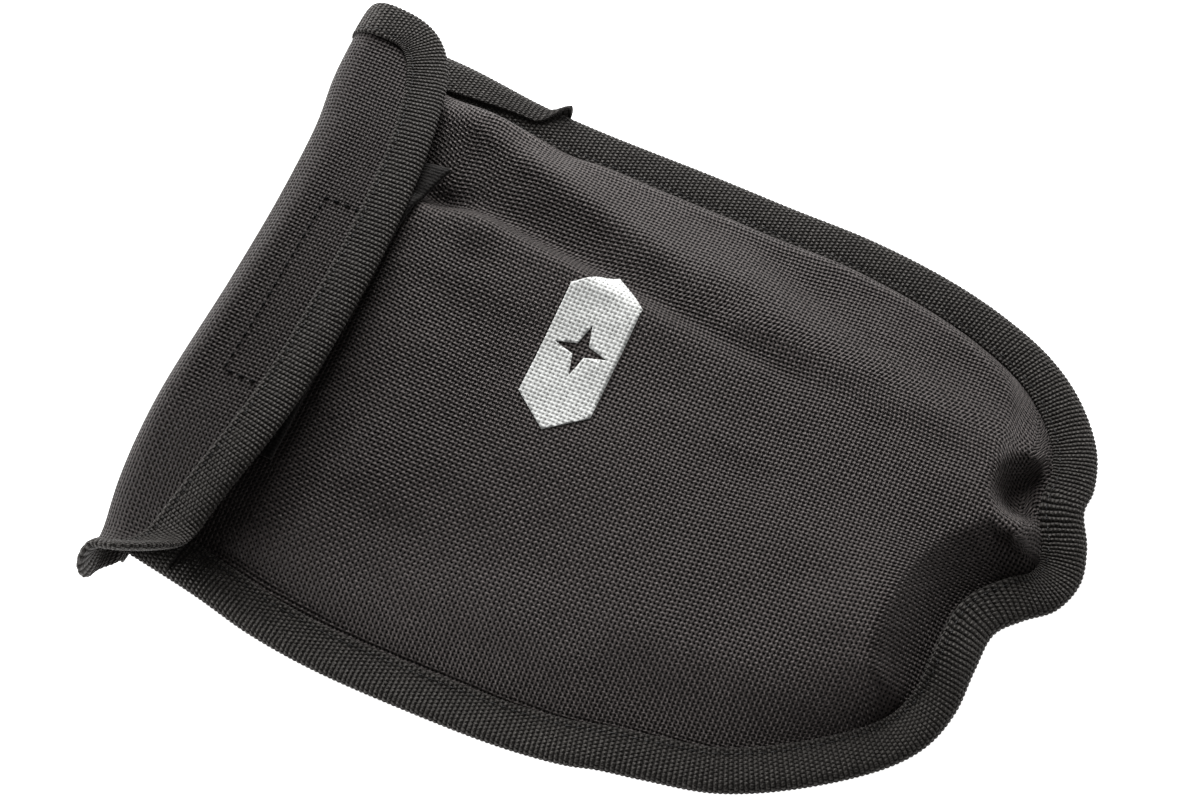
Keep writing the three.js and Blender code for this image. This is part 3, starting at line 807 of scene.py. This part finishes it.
def back_height(x, y):
    """Height of the back panel's middle: it hangs from the belt loop to the bound edge."""
    distance, index = nearest_edge(x, y)
    seam = OUTLINE[index, 2] - PLY
    inside = np.clip((distance - TAPE_FOLDED) / BACK_REACH, 0, 1)
    share = smoothstep(inside, 0, 1) * smoothstep(y, -105, -30)
    return seam + (FOLD_Z - seam) * share


# ---- the two panels ----


def coons(left, right, bottom, top):
    """A grid of (x, y) spanned by four edges; left and right run up, the others rightwards."""
    u = np.linspace(0, 1, len(bottom))[None, :, None]
    v = np.linspace(0, 1, len(left))[:, None, None]
    ruled_v = (1 - v) * bottom[None] + v * top[None]
    ruled_u = (1 - u) * left[:, None] + u * right[:, None]
    corners = ((1 - u) * (1 - v) * bottom[0] + u * (1 - v) * bottom[-1]
               + (1 - u) * v * top[0] + u * v * top[-1])
    return ruled_v + ruled_u - corners


def region_grid(edge, corners, top_y, columns, rows):
    """Grid of (x, y) inside an edge that runs from the top right, round the bottom, to the top
    left, up to the line y = top_y. corners are the ends of its bottom side, right then left."""
    at = [int(np.hypot(*(edge - corner).T).argmin()) for corner in corners]
    right = np.concatenate([edge[:at[0] + 1][::-1], [[edge[0, 0], top_y]]])
    left = np.concatenate([edge[at[1]:], [[edge[-1, 0], top_y]]])
    bottom = edge[at[0]:at[1] + 1][::-1]
    top = np.stack([left[-1], right[-1]])
    parts = [resample(side, count=count)[0]
             for side, count in ((left, rows), (right, rows), (bottom, columns), (top, columns))]
    return coons(*parts)


def body_grid(inset, top_y, columns, rows):
    """Grid of (x, y) inside the body's outline, up to y = top_y."""
    edge = smooth_rows(OUTLINE[:, :2] + OUTLINE_INWARD * inset, 6)
    edge = edge[edge[:, 1] < top_y - 1]
    return region_grid(edge, [(70, -108), (-58, -96)], top_y, columns, rows)


def lay_cloth(name, node, body, grid, nylon, uv=None):
    """A piece of nylon, made as a closed shell round its grid and attached to its body or bend."""
    cloth = sheet(name, grid, FABRIC, nylon, uv)
    attach(cloth, body, node)


def make_panels(nylon):
    for name, flat, height in (
        ("front_panel", body_grid(FRONT_INSET, MOUTH_Y, 130, 160), front_height),
        ("back_panel", body_grid(BACK_INSET, BACK_TOP_Y, 90, 110), back_height),
    ):
        grid = np.dstack([flat, height(flat[..., 0], flat[..., 1])])
        lay_cloth(f"{name}_cloth", name, "pouch", grid, nylon)


def body_frame(path):
    """Inward and up directions of the body's edge: it rolls up at the buckled tip."""
    inward = facing_in(path, 5.0)
    inward = np.concatenate([inward, np.zeros((len(inward), 1))], 1)
    buckle = np.exp(-((path[:, 0] - TUCK_X) / 20) ** 2) * smoothstep(-path[:, 1], 75, 105)
    roll = np.radians(18 * buckle)[:, None]
    up = np.tile([0.0, 0.0, 1.0], (len(path), 1))
    return inward * np.cos(roll) + up * np.sin(roll), up * np.cos(roll) - inward * np.sin(roll)


def make_body_binding(tape, thread):
    path, _ = resample(OUTLINE, step=RIB / 4)
    inward, up = body_frame(path)

    def place(reach, rise):
        return path[:, None] + reach[..., None] * inward[:, None] + rise[..., None] * up[:, None]
    bind("body_binding", "pouch", path, place, BODY_HALF, BODY_LIP, tape)
    line = path + inward * SEAM_IN + up * (BODY_LIP + TAPE - SEAM_SINK)
    sew("body_binding", "pouch", line[::4], up[::4], thread)


# Where the side tapes end: the cut tail, the left one under the flap, and both in the fold.
TAIL_Y, LEFT_END_Y, SIDE_TOP_Y = 64.5, 104, 121
BARTACK_Y = 117


def make_side_tapes(tape, thread):
    """The flap's tape runs on down the body's edge, over its binding. The right one leans
    outwards to its cut tail."""
    path, _ = resample(OUTLINE, step=RIB / 4)
    for name, side, low_y in (("right", 1, TAIL_Y), ("left", -1, LEFT_END_Y)):
        part = path[(path[:, 0] * side > 0) & (path[:, 1] > low_y) & (path[:, 1] < SIDE_TOP_Y)]
        inward, up = body_frame(part)
        tail = smoothstep(-part[:, 1], -71, -64)[:, None] * (side > 0)
        lean = 0.45 * smoothstep(-part[:, 1], -112, -70) + 0.4 * smoothstep(-part[:, 1], -73, -65)
        lean = lean[:, None] * (side > 0)
        base = part - inward * (3.5 * tail - 0.5) + up * 1.0 * tail

        def place(reach, rise):
            top = np.where(rise > 0, 1 - lean, 1.0)
            return (base[:, None] + (reach * top)[..., None] * inward[:, None]
                    + rise[..., None] * up[:, None])
        bind(f"side_tape_{name}", "pouch", part, place, BODY_HALF + 0.6, BODY_HALF + 0.05, tape,
             phase=0.6)
        bar = [(part[abs(part[:, 1] - BARTACK_Y).argmin()] + inward[0] * reach
                + up[0] * (BODY_HALF + TAPE + 0.3)) for reach in (1.5, 9.5)]
        sew(f"mouth_bartack_{name}", "pouch", np.array(bar), up[:2], thread,
            length=1.5, pitch=1.1, radius=0.5, node="{}")


# ---- the fold and the flap ----

# How far the soft fold sags towards the tip, along the pouch's width: (x, sag).
FOLD_SAG = [(-108, 13), (-92, 10.8), (-70, 6.6), (-40, 5.0), (0, 6.1), (30, 6.0), (58, 4.0),
            (76, 0.6), (92, -0.6), (108, -0.4)]


def fold_sag(x):
    points = np.array(FOLD_SAG, float)
    fine = spline(np.concatenate([points, np.zeros((len(points), 1))], 1), 1.0)
    return np.interp(x, fine[:, 0], fine[:, 1])


def flap_middle(x, w):
    """Where the fold and flap cloth lies. x runs across, w along the cloth: 0 at the middle of
    the fold, negative over the flap, positive under to the back panel."""
    x, w = np.broadcast_arrays(np.asarray(x, float), np.asarray(w, float))
    angle = np.clip(-w / FOLD_RADIUS, -math.pi / 2, math.pi / 2)
    y = FOLD_CENTRE_Y + FOLD_RADIUS * np.cos(angle)
    z = FOLD_CENTRE_Z + FOLD_RADIUS * np.sin(angle)
    over = np.maximum(-w - TURN, 0)
    under = np.maximum(w - TURN, 0)
    y = y - over - under
    z = z - 0.0019 * over ** 2
    sag = fold_sag(x) * (1 - smoothstep(w, 6, TURN + 6))
    y = y - sag * (1 - 0.55 * smoothstep(-w, TURN, TURN + 26) * smoothstep(x, -95, -50))
    # the right end hangs down, and two soft creases run along the roll
    z = z - 5.0 * smoothstep(x, 58, 106) * smoothstep(-w, 2, 46)
    z = z - 1.2 * smoothstep(x, 40, 106) * smoothstep(-w, -8, 12)
    z = z + 0.6 * np.sin(x / 15.0 + 0.6) * smoothstep(-w, 6, 30) * np.exp(-(x / 80) ** 4)
    z = z + 0.9 * np.exp(-(w + TURN - 2 + x / 14) ** 2 / 18) * np.exp(-((x + 8) / 62) ** 4)
    z = z + 1.1 * np.exp(-(w + 3 + x / 40) ** 2 / 14) * np.exp(-((x + 12) / 70) ** 4)
    # the left end's lip
    start = LIP_X - LIP_CUT_BACK * smoothstep(-w, 8, 48)
    bend = np.clip((-x - start) / LIP_RADIUS, 0, LIP_ANGLE) * smoothstep(-w, 0, 11)
    past = np.maximum(-x - start - LIP_RADIUS * bend, 0)
    curled_x = -start - LIP_RADIUS * np.sin(bend) - past * np.cos(bend)
    rise = LIP_RADIUS * (1 - np.cos(bend)) + past * np.sin(bend)
    droop = LIP_DROOP * smoothstep(-x, 40, 84) * smoothstep(-w, -12, 12)
    tucked = LIP_TUCK * smoothstep(w, -9, TURN - 2) * smoothstep(-x, 60, 104)
    x = np.where(-x > start, curled_x, x) + tucked
    return np.stack([x, y, z + rise - droop], -1)


def flap_place(x, w, rise):
    """Points at a distance above the fold and flap cloth."""
    step = 0.4
    dx = flap_middle(x + step, w) - flap_middle(x - step, w)
    dw = flap_middle(x, w + step) - flap_middle(x, w - step)
    normal = np.cross(dx, dw)
    normal /= np.linalg.norm(normal, axis=-1, keepdims=True)
    return flap_middle(x, w) + normal * np.asarray(rise)[..., None]


def flap_edge():
    """The flat flap's edge as (x, w), from the right end of the fold to the left end."""
    angle = np.linspace(0, math.pi, 900)
    cosine, sine = np.cos(angle), np.sin(angle)
    power = 2.3 + 0.7 * smoothstep(cosine, 0.2, 0.8) - 0.45 * smoothstep(-cosine, 0.2, 0.8)
    x = FLAP_HALF_WIDTH * np.sign(cosine) * np.abs(cosine) ** (2 / power)
    w = -TURN - (FLAP_EDGE - TURN) * np.abs(sine) ** (2 / power)
    curve = np.stack([x, w], 1)
    edge = np.concatenate([[(FLAP_HALF_WIDTH, 0)], curve, [(-FLAP_HALF_WIDTH, 0)]])
    return resample(edge, step=RIB / 4)[0]


def flap_along(path, inward):
    """The place() of a binding on a path over the fold and flap cloth."""
    def place(reach, rise):
        return flap_place(path[:, None, 0] + reach * inward[:, None, 0],
                          path[:, None, 1] + reach * inward[:, None, 1], rise)
    return place


def make_flap(nylon, tape, thread):
    edge = flap_edge()
    inward = facing_in(edge, 3.0)
    inset = smooth_rows(edge + inward * FLAP_INSET, 8)
    inset = inset[inset[:, 1] < -1]
    flat = region_grid(inset, [(84, -40), (-84, -40)], 0.0, 150, 44)
    grid = flap_middle(flat[..., 0], flat[..., 1])
    lay_cloth("flap_cloth", "flap_panel", UPPER_BEND, grid, nylon, flat)
    place = flap_along(edge, inward)
    bind("flap_binding", UPPER_BEND, edge, place, FLAP_HALF, FLAP_LIP, tape)
    line, up = sewn(flap_place, edge[::4] + inward[::4] * SEAM_IN, FLAP_LIP + TAPE - SEAM_SINK)
    sew("flap_binding", UPPER_BEND, line, up, thread)


def make_fold_band(nylon, tape):
    """The cloth and tapes of the fold, from the back panel up to the middle of the fold."""
    width = FLAP_HALF_WIDTH - FLAP_INSET
    across = np.linspace(-width, width, 150)
    down = np.linspace(TURN + FOLD_CENTRE_Y - BACK_TOP_Y, 0, 22)
    flat = np.dstack(np.meshgrid(across, down))
    grid = flap_middle(flat[..., 0], flat[..., 1])
    # it narrows a little towards the back panel
    grid[..., 0] *= 1 - 0.09 * smoothstep(flat[..., 1], TURN, down[0])
    lay_cloth("fold_band_cloth", "fold_band", LOWER_BEND, grid, nylon, flat)
    for name, side in (("right", 1), ("left", -1)):
        w = np.arange(TURN + 7, -0.01, -RIB / 4)[::-side]
        path = np.stack([np.full(len(w), side * FLAP_HALF_WIDTH), w], 1)
        place = flap_along(path, np.tile([-float(side), 0.0], (len(path), 1)))
        bind(f"fold_band_binding_{name}", LOWER_BEND, path, place, FLAP_HALF, FLAP_LIP, tape)


def make_hook_strip(dark_thread, hook):
    """Hook tape under the flap; its stitching shows as a rectangle on the flap's top."""
    x = np.linspace(HOOK_LOW[0], HOOK_HIGH[0], 66)
    w = np.linspace(HOOK_LOW[1], HOOK_HIGH[1], 22)
    flat = np.dstack(np.meshgrid(x, w))
    grid = flap_place(flat[..., 0], flat[..., 1], np.full(flat.shape[:2], -FABRIC / 2 - 0.8))
    made = sheet("hook_strip_tape", grid, 1.4, hook, uv=flat)
    attach(made, "flap", "hook_strip")
    corners = rectangle(HOOK_LOW + 1.5, HOOK_HIGH - 1.5)
    line, up = sewn(flap_place, resample(corners, step=0.8)[0], FABRIC / 2 + 0.02)
    sew("hook_strip", "flap", line, up, dark_thread, length=2.6, pitch=3.6, radius=0.34, sink=-0.1)


# ---- what lies on the front panel ----


def front_place(x, y, rise):
    """Points at a distance above the front panel's middle."""
    step = 0.6
    x, y = np.broadcast_arrays(np.asarray(x, float), np.asarray(y, float))
    z = front_height(x, y)
    slope_x = (front_height(x + step, y) - front_height(x - step, y)) / (2 * step)
    slope_y = (front_height(x, y + step) - front_height(x, y - step)) / (2 * step)
    normal = np.stack([-slope_x, -slope_y, np.ones_like(x)], -1)
    normal /= np.linalg.norm(normal, axis=-1, keepdims=True)
    return np.stack([x, y, z], -1) + normal * np.asarray(rise)[..., None]


def make_mouth_binding(tape, thread):
    x = np.arange(74.5, -74.6, -RIB / 4)
    edge = np.stack([x, np.full(len(x), MOUTH_Y + 1.0)], 1)

    def place(reach, rise):
        return front_place(edge[:, None, 0], edge[:, None, 1] - reach, rise)
    bind("mouth_binding", "pouch", edge, place, FLAP_HALF, FLAP_LIP, tape)
    line, up = sewn(front_place, edge[::4] - [0, SEAM_IN], FLAP_LIP + TAPE - SEAM_SINK)
    sew("mouth_binding", "pouch", line, up, thread)


STRIP_FREE_X = 46.0  # the panel drops away from the strip beyond this


def strip_slant(x):
    """How far the strip lies nearer the fold than its node; its right end hangs down."""
    return 7 * (1 - np.exp((x - 57) / 16)) - 1.8


def strip_lift(x, y):
    """The strip's lower right corner stands off the panel."""
    return 1.6 * smoothstep(x, 44, 58) * smoothstep(-y, -98, -86)


def strip_place(x, y, rise):
    """The stiff strip runs straight on where the panel falls away behind its crease."""
    points = front_place(np.minimum(x, STRIP_FREE_X), y, rise)
    over = np.maximum(x - STRIP_FREE_X, 0)
    points[..., 0] += over
    points[..., 2] -= 0.12 * over
    return points


def make_loop_strip(loop, thread):
    x = np.linspace(LOOP_LOW[0], LOOP_HIGH[0] + 1, 104)
    y = np.linspace(LOOP_LOW[1], LOOP_HIGH[1], 26)
    flat = np.dstack(np.meshgrid(x, y))
    lift = strip_lift(*np.moveaxis(flat, 2, 0))
    flat[..., 1] += strip_slant(flat[..., 0])
    grid = strip_place(flat[..., 0], flat[..., 1], FABRIC / 2 + 0.85 + lift)
    attach(sheet("loop_strip_tape", grid, 1.5, loop, uv=flat), "pouch", "loop_strip")
    flat, _ = resample(rectangle(LOOP_LOW + 2, LOOP_HIGH - 2), step=0.8)
    lift = strip_lift(*flat.T)
    flat[:, 1] += strip_slant(flat[:, 0])
    line = strip_place(flat[:, 0], flat[:, 1], FABRIC / 2 + 1.6 + lift)
    up = np.tile([0.0, 0.0, 1.0], (len(line), 1))
    sew("loop_strip", "pouch", line, up, thread)


def make_printed_mark(ink):
    """A long hexagon with a four-pointed star left out, printed over the panel's crease."""
    low, high = MARK_LOW[:2], MARK_HIGH[:2]
    middle = (low + high) / 2
    half = (high - low) / 2
    corner = half[0] - half[1] * 0.75
    badge = [(half[0], 0), (corner, half[1]), (-corner, half[1]), (-half[0], 0),
             (-corner, -half[1]), (corner, -half[1])]
    point, notch = 8.5, 2.6
    star = []
    for k in range(8):
        radius = point if k % 2 == 0 else notch
        angle = k * math.pi / 4
        star.append((radius * math.cos(angle), radius * math.sin(angle)))
    work = bmesh.new()
    rings = []
    for outline in (badge, star):
        corners = [work.verts.new((x, y, 0)) for x, y in outline]
        count = len(corners)
        rings += [work.edges.new((corners[k], corners[(k + 1) % count])) for k in range(count)]
    bmesh.ops.triangle_fill(work, use_beauty=True, use_dissolve=False, edges=rings)
    cell = 1.2  # small enough for the print to follow the cloth
    for axis in (0, 1):
        across = Vector((1 - axis, axis, 0))
        for at in np.arange(-half[axis] + cell, half[axis], cell):
            parts = work.verts[:] + work.edges[:] + work.faces[:]
            bmesh.ops.bisect_plane(work, geom=parts, plane_co=across * at, plane_no=across)
    work.verts.index_update()
    flat = np.array([v.co[:2] for v in work.verts]) + middle
    faces = [[v.index for v in face.verts] for face in work.faces]
    rims = [[v.index for v in edge.verts] for edge in work.edges if len(edge.link_faces) == 1]
    work.free()
    count = len(flat)
    top = front_place(*flat.T, np.full(count, FABRIC / 2 + 0.22))
    bottom = front_place(*flat.T, np.full(count, FABRIC / 2 - 0.1))
    faces += [[k + count for k in reversed(face)] for face in faces]
    faces += [[a, b, b + count, a + count] for a, b in rims]
    made = make_object("printed_mark_ink", np.concatenate([top, bottom]), faces,
                       np.concatenate([flat, flat]), ink)
    fix_normals(made)
    attach(made, "pouch", "printed_mark")


# ---- the belt loop ----


def make_belt_loop(webbing, thread):
    """A strap sewn to the back panel by a tab at each end, hanging below it between."""
    low_y, high_y = STRAP_LOW[1], STRAP_HIGH[1]
    half_width = STRAP_HIGH[0]
    thickness = 1.6
    middle_z = FOLD_Z - FABRIC / 2 - thickness / 2 - 0.05
    path = [(low_y, middle_z), (low_y + 13, middle_z), (low_y + 17, middle_z - 1.4),
            (low_y + 22, thickness / 2 + 0.5), (low_y + 27, thickness / 2 + 0.1)]
    path += [(low_y + high_y - y, z) for y, z in reversed(path)]
    line = spline([(0, y, z) for y, z in path], 1.2)
    x = np.linspace(-half_width, half_width, 40)
    grid = np.zeros((len(line), len(x), 3))
    grid[..., 0] = x
    grid[..., 1:] = line[:, None, 1:]
    made = sheet("belt_loop_strap", grid, thickness, webbing)
    attach(made, "pouch", "belt_loop")
    for name, y in (("lower", low_y + 6.5), ("upper", high_y - 6.5)):
        box = rectangle((-22, -4.5), (22, 4.5)) + [(22, 4.5)]
        run, _ = resample([(a, y + b, middle_z - thickness / 2) for a, b in box], step=0.8)
        down = np.tile([0.0, 0.0, -1.0], (len(run), 1))
        sew(f"belt_loop_{name}", "pouch", run, down, thread)


make_camera()
make_studio()
nylon = nylon_material("ballistic_nylon", 1.0, 1.0)
# The flap and the fold take a darker copy of the nylon, with fainter pinholes: painted shade, as
# the key light falls on them head-on.
flap_nylon_painted_shade = nylon_material("ballistic_nylon_flap_painted_shade", 0.3, 0.6)
tape = tape_material()
thread = thread_material("thread", 1.0)
make_panels(nylon)
make_body_binding(tape, thread)
make_side_tapes(tape, thread)
make_mouth_binding(tape, thread)
make_loop_strip(pile_material("loop_pile", (0.022, 0.020, 0.019), 1500, 0.0004), thread)
make_printed_mark(ink_material())
make_belt_loop(webbing_material(), thread)
dark_thread = thread_material("dark_thread", 0.25)
make_flap(flap_nylon_painted_shade, tape, thread)
make_fold_band(flap_nylon_painted_shade, tape)
make_hook_strip(dark_thread, pile_material("hook_pile", (0.022, 0.021, 0.021), 2200, 0.0005))
